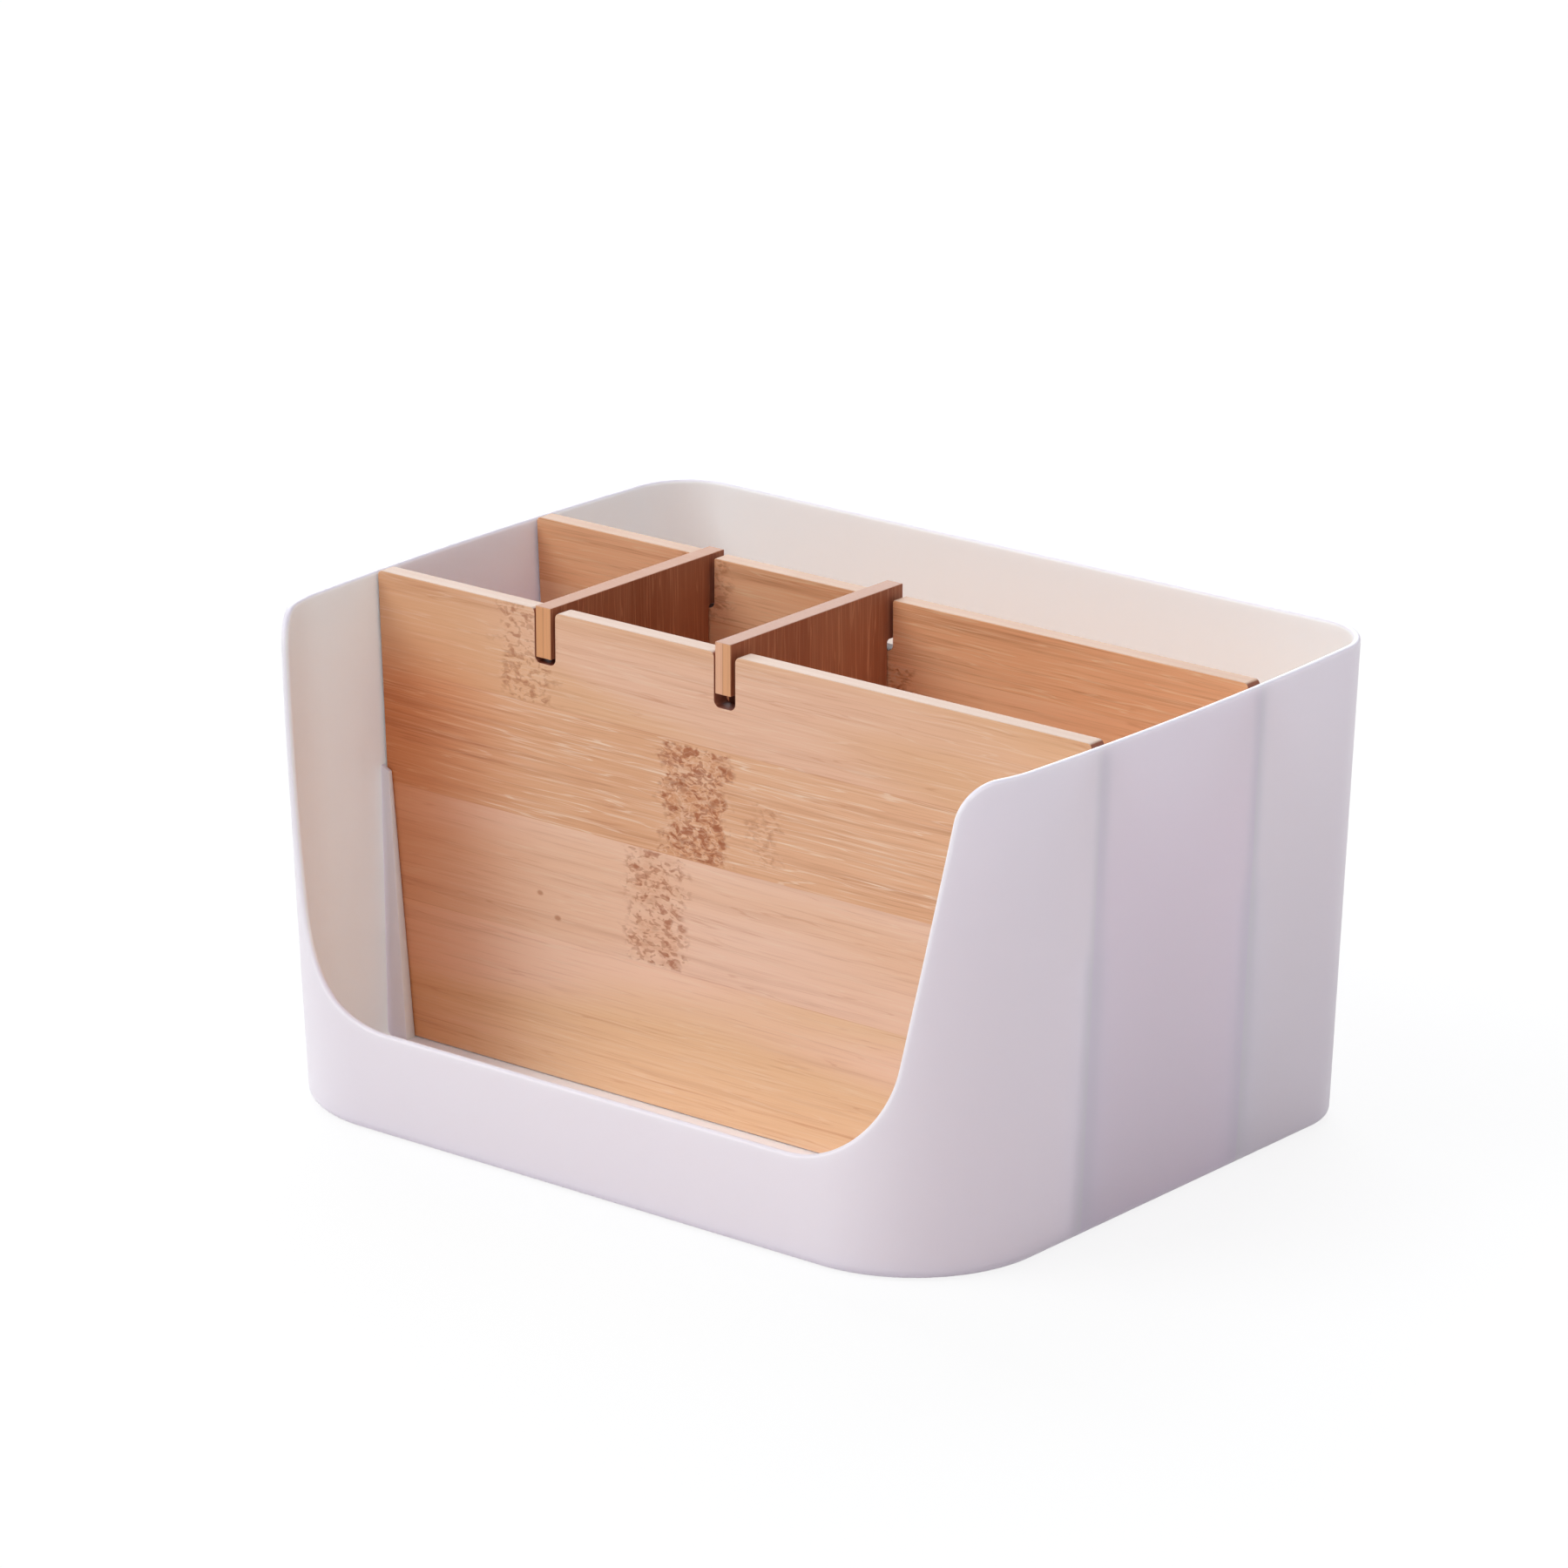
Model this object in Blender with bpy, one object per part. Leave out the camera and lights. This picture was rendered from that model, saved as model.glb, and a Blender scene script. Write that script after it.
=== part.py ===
"""Compartment storage box: a white moulded tray with a low front, and four bamboo boards that lift out.

Metres, +Z up. The origin is on the ground under the middle of the tray. The low front faces -Y and
the two long boards run along X. Run it with blender --background --python part.py.
"""

import math

import bmesh
import bpy
from mathutils import Vector

# Tray: outside sizes, taken at the rim
TRAY_WIDTH = 0.2500
TRAY_DEPTH = 0.1938
TRAY_HEIGHT = 0.1367
FRONT_CORNER_RADIUS = 0.0400
REAR_CORNER_RADIUS = 0.0195
SIDE_BOW = 0.0021            # how far the middle of each side wall stands out at the rim
WALL = 0.0022
FLOOR = 0.0030
HEEL_RADIUS = 0.0030         # round between the walls and the underside
FLOOR_FILLET = 0.0020        # round between the walls and the floor inside
DRAFT_SLOPE_SHARE = 0.03     # inward lean of every wall, as a share of the height below the rim

# Opening in the front of the tray, the same on both sides
SILL_HEIGHT = 0.0300
OPENING_MARGIN = 0.0245      # along the rim, from where the slanted side points to the start of the side wall
SLANT_SHARE = 0.202          # outward lean of the slanted side, as a share of the height gained
OPENING_FOOT_RADIUS = 0.0360
OPENING_TOP_RADIUS = 0.0130

# Guide ribs inside the side walls, one pair for each end of a long board
RIB_TOP_HEIGHT = 0.0820
RIB_TOP_FALL = 0.0020        # how much lower the free edge of a rib starts than its foot on the wall
RIB_REACH_TOP = 0.0028
RIB_REACH_FLOOR = 0.0070
RIB_THICKNESS_TOP = 0.0015
RIB_THICKNESS_FLOOR = 0.0038
RIB_CLEARANCE = 0.0003       # between a rib and the face of the board that it guides

# Bamboo boards
BOARD_THICKNESS = 0.0054
BOARD_PROUD = 0.0006         # how far the long boards stand above the rim
BOARD_END_CLEARANCE = 0.0004
BOARD_FOOT_EASE = 0.0012     # how much rounder the lower corners are than the fillet round the floor
BOARD_SHOULDER_RADIUS = 0.0015
EDGE_BREAK = 0.0004
SEAT_GAP = 0.0003            # what touching pieces keep between them
FRONT_BOARD_Y = -0.0338      # front face of the front board
REAR_BOARD_Y = 0.0336        # front face of the rear board

# Slots in the top edge of both long boards
SLOT_PLAY = 0.0018           # how much wider a slot is than the board that drops into it
SLOT_DEPTH = 0.0152
SLOT_FOOT_RADIUS = 0.0018
FRONT_MOUTH_RADIUS = 0.0017  # at the top of the front board's slots
REAR_MOUTH_RADIUS = 0.0008
REAR_SLOT_RISE = 0.0006      # how much shallower the rear board's slots are
LEFT_SLOT_X = -0.0626
RIGHT_SLOT_X = 0.0008

# Cross boards: an ear at each end drops into a slot
EAR_FOOT_CLEARANCE = 0.0014  # between the slot's foot and the ears of the left board
EAR_CORNER_RADIUS = 0.0010   # corner between an ear and the standing edge below it
CROSS_REAR_PROUD = 0.0010    # how far the rear ears pass the rear board
LEFT_CROSS_PROUD = 0.0008    # height above the long boards
RIGHT_CROSS_PROUD = 0.0030

# Faces along round stretches
HEEL_STEPS = 3
FILLET_STEPS = 2
LIP_STEPS = 4
OPENING_FOOT_STEPS = 9
OPENING_TOP_STEPS = 6
SLANT_STEPS = 4
FRONT_CORNER_STEPS = 11
REAR_CORNER_STEPS = 6
SIDE_STEPS = 8
ARC_STEPS = 4
SHARP_ANGLE = 50             # degrees; corners sharper than this are broken on boards and creased on the tray

# Surface of each material: sRGB colour and roughness
PLASTIC = ((225, 221, 226), 0.38)
BAMBOO_LONG = ((216, 170, 134), 0.52)
BAMBOO_CROSS = ((196, 140, 104), 0.55)

# Sizes worked out from those above
LIP_RADIUS = WALL / 2
BOARD_FOOT = FLOOR + SEAT_GAP
BOARD_TOP = TRAY_HEIGHT + BOARD_PROUD
BOARD_FOOT_RADIUS = FLOOR_FILLET + BOARD_FOOT_EASE
SLOT_WIDTH = BOARD_THICKNESS + SLOT_PLAY
REAR_SLOT_DEPTH = SLOT_DEPTH - REAR_SLOT_RISE
EAR_HEIGHT = SLOT_DEPTH + LEFT_CROSS_PROUD - EAR_FOOT_CLEARANCE
FRONT_STRAIGHT = TRAY_WIDTH / 2 - FRONT_CORNER_RADIUS
REAR_STRAIGHT = TRAY_WIDTH / 2 - REAR_CORNER_RADIUS
SIDE_STRAIGHT = TRAY_DEPTH - FRONT_CORNER_RADIUS - REAR_CORNER_RADIUS
FRONT_ARC = FRONT_CORNER_RADIUS * math.pi / 2
REAR_ARC = REAR_CORNER_RADIUS * math.pi / 2
RUN_TO_SIDE = FRONT_STRAIGHT + FRONT_ARC
RUN_TO_REAR_CORNER = RUN_TO_SIDE + SIDE_STRAIGHT
RUN_TO_REAR = RUN_TO_REAR_CORNER + REAR_ARC
RUN_TO_BACK_MIDDLE = RUN_TO_REAR + REAR_STRAIGHT
SLANT_TURN = math.pi / 2 - math.atan(SLANT_SHARE)
SLANT_RUN_AT_RIM = RUN_TO_SIDE - OPENING_MARGIN
SLANT_RUN_AT_SILL = SLANT_RUN_AT_RIM - SLANT_SHARE * (TRAY_HEIGHT - SILL_HEIGHT)


def clear_scene():
    for old in list(bpy.data.objects):
        bpy.data.objects.remove(old, do_unlink=True)


def between(low, high, steps):
    """The values from low to high in equal steps, both ends included."""
    return [low + (high - low) * i / steps for i in range(steps + 1)]


# Shape of the tray's walls

def half_sizes(z):
    """Half of the tray's width and depth outside, at height z."""
    lean = DRAFT_SLOPE_SHARE * (TRAY_HEIGHT - z)
    return TRAY_WIDTH / 2 - lean, TRAY_DEPTH / 2 - lean


def side_wall_x(y, z, inset):
    """Where a side wall stands at y and z, moved in by inset."""
    half_width, half_depth = half_sizes(z)
    front = -half_depth + FRONT_CORNER_RADIUS
    rear = half_depth - REAR_CORNER_RADIUS
    place = 2 * (y - front) / (rear - front) - 1
    bow = SIDE_BOW * z / TRAY_HEIGHT * (1 - min(place * place, 1))
    return half_width + bow - inset


def wall_point(run, z, inset):
    """The point of the tray's wall at a run along the rim from the middle of the front."""
    half_width, half_depth = half_sizes(z)
    side = math.copysign(1, run)
    run = abs(run)
    if run <= FRONT_STRAIGHT:
        x = (half_width - FRONT_CORNER_RADIUS) * run / FRONT_STRAIGHT
        y = -half_depth + inset
    elif run <= RUN_TO_SIDE:
        angle = (run - FRONT_STRAIGHT) / FRONT_CORNER_RADIUS
        radius = FRONT_CORNER_RADIUS - inset
        x = half_width - FRONT_CORNER_RADIUS + radius * math.sin(angle)
        y = -half_depth + FRONT_CORNER_RADIUS - radius * math.cos(angle)
    elif run <= RUN_TO_REAR_CORNER:
        front = -half_depth + FRONT_CORNER_RADIUS
        rear = half_depth - REAR_CORNER_RADIUS
        y = front + (rear - front) * (run - RUN_TO_SIDE) / SIDE_STRAIGHT
        x = side_wall_x(y, z, inset)
    elif run <= RUN_TO_REAR:
        angle = (run - RUN_TO_REAR_CORNER) / REAR_CORNER_RADIUS
        radius = REAR_CORNER_RADIUS - inset
        x = half_width - REAR_CORNER_RADIUS + radius * math.cos(angle)
        y = half_depth - REAR_CORNER_RADIUS + radius * math.sin(angle)
    else:
        x = (half_width - REAR_CORNER_RADIUS) * (RUN_TO_BACK_MIDDLE - run) / REAR_STRAIGHT
        y = half_depth - inset
    return side * x, y, z


def opening_edge(offset):
    """Runs and heights of the tray's upper edge on the right, moved into the wall by offset.

    It starts at the middle of the front, climbs out of the sill and ends where the rim is level.
    """
    tangent = math.tan(SLANT_TURN / 2)
    foot_run = SLANT_RUN_AT_SILL - OPENING_FOOT_RADIUS * tangent
    top_run = SLANT_RUN_AT_RIM + OPENING_TOP_RADIUS * tangent
    foot_radius = OPENING_FOOT_RADIUS + offset
    top_radius = OPENING_TOP_RADIUS - offset
    foot = [(foot_run + foot_radius * math.sin(a),
             SILL_HEIGHT + OPENING_FOOT_RADIUS - foot_radius * math.cos(a))
            for a in between(0, SLANT_TURN, OPENING_FOOT_STEPS)]
    top = [(top_run - top_radius * math.sin(a),
            TRAY_HEIGHT - OPENING_TOP_RADIUS + top_radius * math.cos(a))
           for a in between(SLANT_TURN, 0, OPENING_TOP_STEPS)]
    slant_runs = between(foot[-1][0], top[0][0], SLANT_STEPS)[1:-1]
    slant_heights = between(foot[-1][1], top[0][1], SLANT_STEPS)[1:-1]
    return [(0.0, SILL_HEIGHT - offset)] + foot + list(zip(slant_runs, slant_heights)) + top


def rim_runs():
    """Runs of the columns behind the opening, where the rim is level."""
    start = opening_edge(0)[-1][0]
    front_corner = between(FRONT_STRAIGHT, RUN_TO_SIDE, FRONT_CORNER_STEPS)[:-1]
    side = between(RUN_TO_SIDE, RUN_TO_REAR_CORNER, SIDE_STEPS)[:-1]
    rear_corner = between(RUN_TO_REAR_CORNER, RUN_TO_REAR, REAR_CORNER_STEPS)
    runs = front_corner + side + rear_corner + [RUN_TO_BACK_MIDDLE]
    return [run for run in runs if run - start > LIP_RADIUS]


def upper_edge(offset):
    """Runs and heights of the whole upper edge on the right, front middle to back middle."""
    return opening_edge(offset) + [(run, TRAY_HEIGHT - offset) for run in rim_runs()]


def closed_ring(edge, inset):
    """Wall points for an edge on the right, and then for its mirror image back to the start."""
    right = [wall_point(run, z, inset) for run, z in edge]
    left = [(-x, y, z) for x, y, z in right[1:-1]]
    return right + left[::-1]


def level_ring(z, inset):
    return closed_ring([(run, z) for run, _ in upper_edge(LIP_RADIUS)], inset)


def tray_rings():
    """Rings of the tray from the underside, up outside, over the lip and down to the floor."""
    rings = []
    for a in between(0, math.pi / 2, HEEL_STEPS):
        rings.append(level_ring(HEEL_RADIUS * (1 - math.cos(a)), HEEL_RADIUS * (1 - math.sin(a))))
    for a in between(0, math.pi, LIP_STEPS):
        edge = upper_edge(LIP_RADIUS * (1 - math.sin(a)))
        rings.append(closed_ring(edge, LIP_RADIUS * (1 - math.cos(a))))
    for a in between(math.pi / 2, 0, FILLET_STEPS):
        z = FLOOR + FLOOR_FILLET * (1 - math.cos(a))
        rings.append(level_ring(z, WALL + FLOOR_FILLET * (1 - math.sin(a))))
    return rings


# Mesh helpers

def mesh_from_bmesh(name, bm):
    bmesh.ops.recalc_face_normals(bm, faces=bm.faces)
    mesh = bpy.data.meshes.new(name)
    bm.to_mesh(mesh)
    bm.free()
    return mesh


def loft(name, rings):
    """A closed mesh through rings with equal counts of points, capped at both ends."""
    bm = bmesh.new()
    rows = [[bm.verts.new(point) for point in ring] for ring in rings]
    count = len(rows[0])
    for low, high in zip(rows, rows[1:]):
        for i in range(count):
            j = (i + 1) % count
            bm.faces.new((low[i], low[j], high[j], high[i]))
    bm.faces.new(rows[0][::-1])
    bm.faces.new(rows[-1])
    return mesh_from_bmesh(name, bm)


def board(name, outline, direction):
    """A board with the given outline of 3-D points, extruded along direction."""
    bm = bmesh.new()
    face = bm.faces.new([bm.verts.new(point) for point in outline])
    new = bmesh.ops.extrude_face_region(bm, geom=[face])["geom"]
    moved = [v for v in new if isinstance(v, bmesh.types.BMVert)]
    bmesh.ops.translate(bm, verts=moved, vec=direction)
    return mesh_from_bmesh(name, bm)


def arc(centre, radius, start, end):
    """Points of an arc in a plane, its angles in degrees."""
    angles = between(math.radians(start), math.radians(end), ARC_STEPS)
    return [(centre[0] + radius * math.cos(a), centre[1] + radius * math.sin(a)) for a in angles]


def linear(value):
    """One sRGB channel of 0 to 255 as a linear value."""
    share = value / 255
    return share / 12.92 if share <= 0.04045 else ((share + 0.055) / 1.055) ** 2.4


def material(name, surface):
    colour, roughness = surface
    made = bpy.data.materials.new(name)
    made.use_nodes = True
    shader = made.node_tree.nodes["Principled BSDF"]
    shader.inputs["Base Color"].default_value = (*[linear(c) for c in colour], 1)
    shader.inputs["Roughness"].default_value = roughness
    shader.inputs["Metallic"].default_value = 0
    return made


def world_place(item):
    """The place of an object in the world; no object here is turned or scaled."""
    return item.location + world_place(item.parent) if item else Vector()


def add_object(name, mesh, place=(0, 0, 0), parent=None):
    made = bpy.data.objects.new(name, mesh)
    bpy.context.collection.objects.link(made)
    made.parent = parent
    made.location = Vector(place) - world_place(parent)
    return made


def break_edges(item):
    bevel = item.modifiers.new("broken edges", "BEVEL")
    bevel.width = EDGE_BREAK
    bevel.segments = 1
    bevel.limit_method = "ANGLE"
    bevel.angle_limit = math.radians(SHARP_ANGLE)


# Tray

def rib(side, face_y, outward):
    """Rings of one guide rib: its guide face stands at face_y, and it thickens towards outward."""
    rings = []
    levels = ((FLOOR / 2, RIB_REACH_FLOOR, RIB_THICKNESS_FLOOR, 0.0),
              (RIB_TOP_HEIGHT, RIB_REACH_TOP, RIB_THICKNESS_TOP, RIB_TOP_FALL))
    for z, reach, thickness, fall in levels:
        root = side_wall_x(face_y, z, WALL / 2)
        tip = side_wall_x(face_y, z, WALL) - reach
        far_y = face_y + outward * thickness
        rings.append([(side * root, face_y, z), (side * tip, face_y, z - fall),
                      (side * tip, far_y, z - fall), (side * root, far_y, z)])
    return rings


def make_ribs():
    """All eight guide ribs as one helper object, which is joined to the tray."""
    bm = bmesh.new()
    for front_face in (FRONT_BOARD_Y, REAR_BOARD_Y):
        back_face = front_face + BOARD_THICKNESS
        for side in (-1, 1):
            for face_y, outward in ((front_face - RIB_CLEARANCE, -1), (back_face + RIB_CLEARANCE, 1)):
                low, high = [[bm.verts.new(p) for p in ring] for ring in rib(side, face_y, outward)]
                for i in range(4):
                    j = (i + 1) % 4
                    bm.faces.new((low[i], low[j], high[j], high[i]))
                bm.faces.new(low[::-1])
                bm.faces.new(high)
    helper = add_object("rib_helper", mesh_from_bmesh("ribs", bm))
    helper.hide_render = True
    helper.display_type = "WIRE"
    return helper


def make_tray():
    mesh = loft("tray", tray_rings())
    mesh.materials.append(material("tray", PLASTIC))
    mesh.shade_smooth()
    mesh.set_sharp_from_angle(angle=math.radians(SHARP_ANGLE))
    tray = add_object("tray", mesh)
    joined = tray.modifiers.new("guide ribs", "BOOLEAN")
    joined.operation = "UNION"
    joined.solver = "EXACT"
    joined.object = make_ribs()
    return tray


# Boards

def board_end_x(front_face, z):
    """Half the length of a long board at height z, clear of the tray's side walls."""
    faces = (front_face, front_face + BOARD_THICKNESS)
    return min(side_wall_x(y, z, WALL) for y in faces) - BOARD_END_CLEARANCE


def slot_outline(centre_x, depth, mouth_radius):
    """The slot in the top edge of a long board, from left to right."""
    left = centre_x - SLOT_WIDTH / 2
    right = centre_x + SLOT_WIDTH / 2
    mouth = BOARD_TOP - mouth_radius
    foot = BOARD_TOP - depth + SLOT_FOOT_RADIUS
    return (arc((left - mouth_radius, mouth), mouth_radius, 90, 0)
            + arc((left + SLOT_FOOT_RADIUS, foot), SLOT_FOOT_RADIUS, 180, 270)
            + arc((right - SLOT_FOOT_RADIUS, foot), SLOT_FOOT_RADIUS, 270, 360)
            + arc((right + mouth_radius, mouth), mouth_radius, 180, 90))


def long_board_outline(front_face, slot_depth, mouth_radius):
    """Outline of a long board in X and Z, clockwise from the upper left shoulder."""
    top_end = board_end_x(front_face, BOARD_TOP)
    foot_end = board_end_x(front_face, BOARD_FOOT)
    shoulder = BOARD_TOP - BOARD_SHOULDER_RADIUS
    foot = BOARD_FOOT + BOARD_FOOT_RADIUS
    lean = (top_end - foot_end) / (BOARD_TOP - BOARD_FOOT)
    shoulder_x = top_end - lean * BOARD_SHOULDER_RADIUS - BOARD_SHOULDER_RADIUS
    foot_x = foot_end - BOARD_FOOT_RADIUS
    return (arc((-shoulder_x, shoulder), BOARD_SHOULDER_RADIUS, 180, 90)
            + slot_outline(LEFT_SLOT_X, slot_depth, mouth_radius)
            + slot_outline(RIGHT_SLOT_X, slot_depth, mouth_radius)
            + arc((shoulder_x, shoulder), BOARD_SHOULDER_RADIUS, 90, 0)
            + arc((foot_x, foot), BOARD_FOOT_RADIUS, 0, -90)
            + arc((-foot_x, foot), BOARD_FOOT_RADIUS, -90, -180))


def make_long_board(name, front_face, slot_depth, mouth_radius, parent):
    points = long_board_outline(front_face, slot_depth, mouth_radius)
    outline = [(x, 0.0, z - BOARD_FOOT) for x, z in points]
    mesh = board(name, outline, (0, BOARD_THICKNESS, 0))
    mesh.materials.append(material(name, BAMBOO_LONG))
    made = add_object(name, mesh, (0, front_face, BOARD_FOOT), parent)
    break_edges(made)
    return made


def cross_board_outline(top):
    """Outline of a cross board in Y and Z, with an ear at each end."""
    front_end = FRONT_BOARD_Y
    rear_end = REAR_BOARD_Y + BOARD_THICKNESS + CROSS_REAR_PROUD
    front_edge = FRONT_BOARD_Y + BOARD_THICKNESS + SEAT_GAP
    rear_edge = REAR_BOARD_Y - SEAT_GAP
    ear_foot = top - EAR_HEIGHT
    radius = EAR_CORNER_RADIUS
    return ([(front_end, ear_foot), (front_end, top), (rear_end, top), (rear_end, ear_foot)]
            + arc((rear_edge + radius, ear_foot - radius), radius, 90, 180)
            + [(rear_edge, BOARD_FOOT), (front_edge, BOARD_FOOT)]
            + arc((front_edge - radius, ear_foot - radius), radius, 0, 90))


def make_cross_board(name, slot_x, proud, parent):
    """A cross board standing against the left side of its slots."""
    left_face = slot_x - SLOT_WIDTH / 2 + SEAT_GAP
    outline = [(0.0, y, z - BOARD_FOOT) for y, z in cross_board_outline(BOARD_TOP + proud)]
    mesh = board(name, outline, (BOARD_THICKNESS, 0, 0))
    mesh.materials.append(material(name, BAMBOO_CROSS))
    made = add_object(name, mesh, (left_face, 0, BOARD_FOOT), parent)
    break_edges(made)
    return made


def main():
    clear_scene()
    tray = make_tray()
    front = make_long_board("front_divider", FRONT_BOARD_Y, SLOT_DEPTH, FRONT_MOUTH_RADIUS, tray)
    rear = make_long_board("rear_divider", REAR_BOARD_Y, REAR_SLOT_DEPTH, REAR_MOUTH_RADIUS, front)
    make_cross_board("left_cross_divider", LEFT_SLOT_X, LEFT_CROSS_PROUD, rear)
    make_cross_board("right_cross_divider", RIGHT_SLOT_X, RIGHT_CROSS_PROUD, rear)


main()
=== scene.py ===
"""Looks of the compartment storage box: a satin white tray and four lacquered bamboo boards.

Metres, +Z up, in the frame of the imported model: the origin is under the middle of the tray, the low
front faces -Y and the long boards run along X.
"""

import math

import bmesh
import bpy
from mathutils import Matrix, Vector


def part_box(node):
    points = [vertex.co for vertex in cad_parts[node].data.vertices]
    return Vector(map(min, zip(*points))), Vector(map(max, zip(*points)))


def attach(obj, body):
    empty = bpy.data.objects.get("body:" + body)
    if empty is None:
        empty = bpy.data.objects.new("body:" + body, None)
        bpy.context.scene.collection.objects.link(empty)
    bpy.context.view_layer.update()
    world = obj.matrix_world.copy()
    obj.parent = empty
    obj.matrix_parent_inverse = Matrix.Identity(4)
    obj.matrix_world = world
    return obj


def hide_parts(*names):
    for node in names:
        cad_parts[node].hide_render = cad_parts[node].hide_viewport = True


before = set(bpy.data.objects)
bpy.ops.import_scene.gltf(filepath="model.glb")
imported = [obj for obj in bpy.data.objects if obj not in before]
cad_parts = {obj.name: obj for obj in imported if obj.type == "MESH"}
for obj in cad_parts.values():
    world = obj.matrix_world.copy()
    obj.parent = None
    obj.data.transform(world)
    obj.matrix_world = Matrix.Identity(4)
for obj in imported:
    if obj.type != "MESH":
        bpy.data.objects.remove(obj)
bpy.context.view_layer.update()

MM = 0.001


def cad(node, corner, axis):
    """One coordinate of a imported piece's box: corner 0 is the lowest, 1 the highest."""
    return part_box(node)[corner]["xyz".index(axis)]


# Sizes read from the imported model
FOOT_SETTLE = 0.2 * MM        # a board stands this much nearer to the tray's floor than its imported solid
TRAY_HEIGHT = cad("tray", 1, "z")
BOARD_THICKNESS = cad("front_divider", 1, "y") - cad("front_divider", 0, "y")
BOARD_FOOT = cad("front_divider", 0, "z") - FOOT_SETTLE
BOARD_TOP = cad("front_divider", 1, "z")
FRONT_BOARD_Y = cad("front_divider", 0, "y")
REAR_BOARD_Y = cad("rear_divider", 0, "y")
CROSS_FRONT_Y = cad("left_cross_divider", 0, "y")
CROSS_REAR_Y = cad("left_cross_divider", 1, "y")

# Tray, taken at the rim outside
TRAY_WIDTH = 250.0 * MM
TRAY_DEPTH = 2 * cad("tray", 1, "y")
FRONT_CORNER_RADIUS = 40.0 * MM
REAR_CORNER_RADIUS = 19.5 * MM
SIDE_BOW = 2.1 * MM
WALL = 2.2 * MM
FLOOR = 3.0 * MM
HEEL_RADIUS = 3.0 * MM
FLOOR_FILLET = 2.0 * MM
DRAFT_SLOPE_SHARE = 0.03      # how far the walls lean in, for each unit of height

# Opening in the front of the tray
SILL_HEIGHT = 30.0 * MM
OPENING_MARGIN = 24.5 * MM
SLANT_SHARE = 0.202           # how far the opening's sides lean out, for each unit of height
OPENING_FOOT_RADIUS = 36.0 * MM
OPENING_TOP_RADIUS = 13.0 * MM

# Guide ribs inside the side walls
RIB_TOP_HEIGHT = 82.0 * MM
RIB_TOP_FALL = 2.0 * MM
RIB_REACH_TOP = 2.8 * MM
RIB_REACH_FLOOR = 7.0 * MM
RIB_THICKNESS_TOP = 1.5 * MM
RIB_THICKNESS_FLOOR = 3.8 * MM
RIB_CLEARANCE = 0.3 * MM
RIB_EDGE = 0.35 * MM

# Boards
BOARD_END_CLEARANCE = 0.4 * MM
BOARD_FOOT_RADIUS = 3.2 * MM
BOARD_SHOULDER_RADIUS = 1.5 * MM
BOARD_EDGE = 0.28 * MM
SEAT_GAP = 0.3 * MM
SLOT_WIDTH = 7.2 * MM
SLOT_FOOT_RADIUS = 1.8 * MM
FRONT_SLOT = (15.2 * MM, 1.7 * MM)   # depth and mouth radius
REAR_SLOT = (14.6 * MM, 0.8 * MM)
EAR_HEIGHT = 14.6 * MM
EAR_CORNER_RADIUS = 1.0 * MM

# Faces along round stretches
HEEL_STEPS = 8
FILLET_STEPS = 6
LIP_STEPS = 18
OPENING_FOOT_STEPS = 26
OPENING_TOP_STEPS = 14
SLANT_STEPS = 10
FRONT_CORNER_STEPS = 30
SIDE_STEPS = 24
REAR_CORNER_STEPS = 20
ARC_STEPS = 8
EDGE_STEPS = 3
RIB_EDGE_STEPS = 2
SMOOTH_ANGLE = 38             # degrees; faces that meet at less than this are shaded as one

# Camera, aimed at a point inside the box
CAMERA_AZIMUTH = 39.31
CAMERA_ELEVATION = 18.21
CAMERA_DISTANCE = 2130.8 * MM
CAMERA_TARGET = Vector((-3.8 * MM, -3.1 * MM, 92.2 * MM))
CAMERA_LENS = 180.28

# Sizes worked out from those above
LIP_RADIUS = WALL / 2
FRONT_STRAIGHT = TRAY_WIDTH / 2 - FRONT_CORNER_RADIUS
REAR_STRAIGHT = TRAY_WIDTH / 2 - REAR_CORNER_RADIUS
SIDE_STRAIGHT = TRAY_DEPTH - FRONT_CORNER_RADIUS - REAR_CORNER_RADIUS
RUN_TO_SIDE = FRONT_STRAIGHT + FRONT_CORNER_RADIUS * math.pi / 2
RUN_TO_REAR_CORNER = RUN_TO_SIDE + SIDE_STRAIGHT
RUN_TO_REAR = RUN_TO_REAR_CORNER + REAR_CORNER_RADIUS * math.pi / 2
RUN_TO_BACK_MIDDLE = RUN_TO_REAR + REAR_STRAIGHT
SLANT_TURN = math.pi / 2 - math.atan(SLANT_SHARE)
SLANT_RUN_AT_RIM = RUN_TO_SIDE - OPENING_MARGIN
SLANT_RUN_AT_SILL = SLANT_RUN_AT_RIM - SLANT_SHARE * (TRAY_HEIGHT - SILL_HEIGHT)


def between(low, high, steps):
    return [low + (high - low) * i / steps for i in range(steps + 1)]


# Shape of the tray's walls

def half_sizes(z):
    lean = DRAFT_SLOPE_SHARE * (TRAY_HEIGHT - z)
    return TRAY_WIDTH / 2 - lean, TRAY_DEPTH / 2 - lean


def side_wall_x(y, z, inset):
    half_width, half_depth = half_sizes(z)
    front = -half_depth + FRONT_CORNER_RADIUS
    rear = half_depth - REAR_CORNER_RADIUS
    place = 2 * (y - front) / (rear - front) - 1
    bow = SIDE_BOW * z / TRAY_HEIGHT * (1 - min(place * place, 1))
    return half_width + bow - inset


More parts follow.
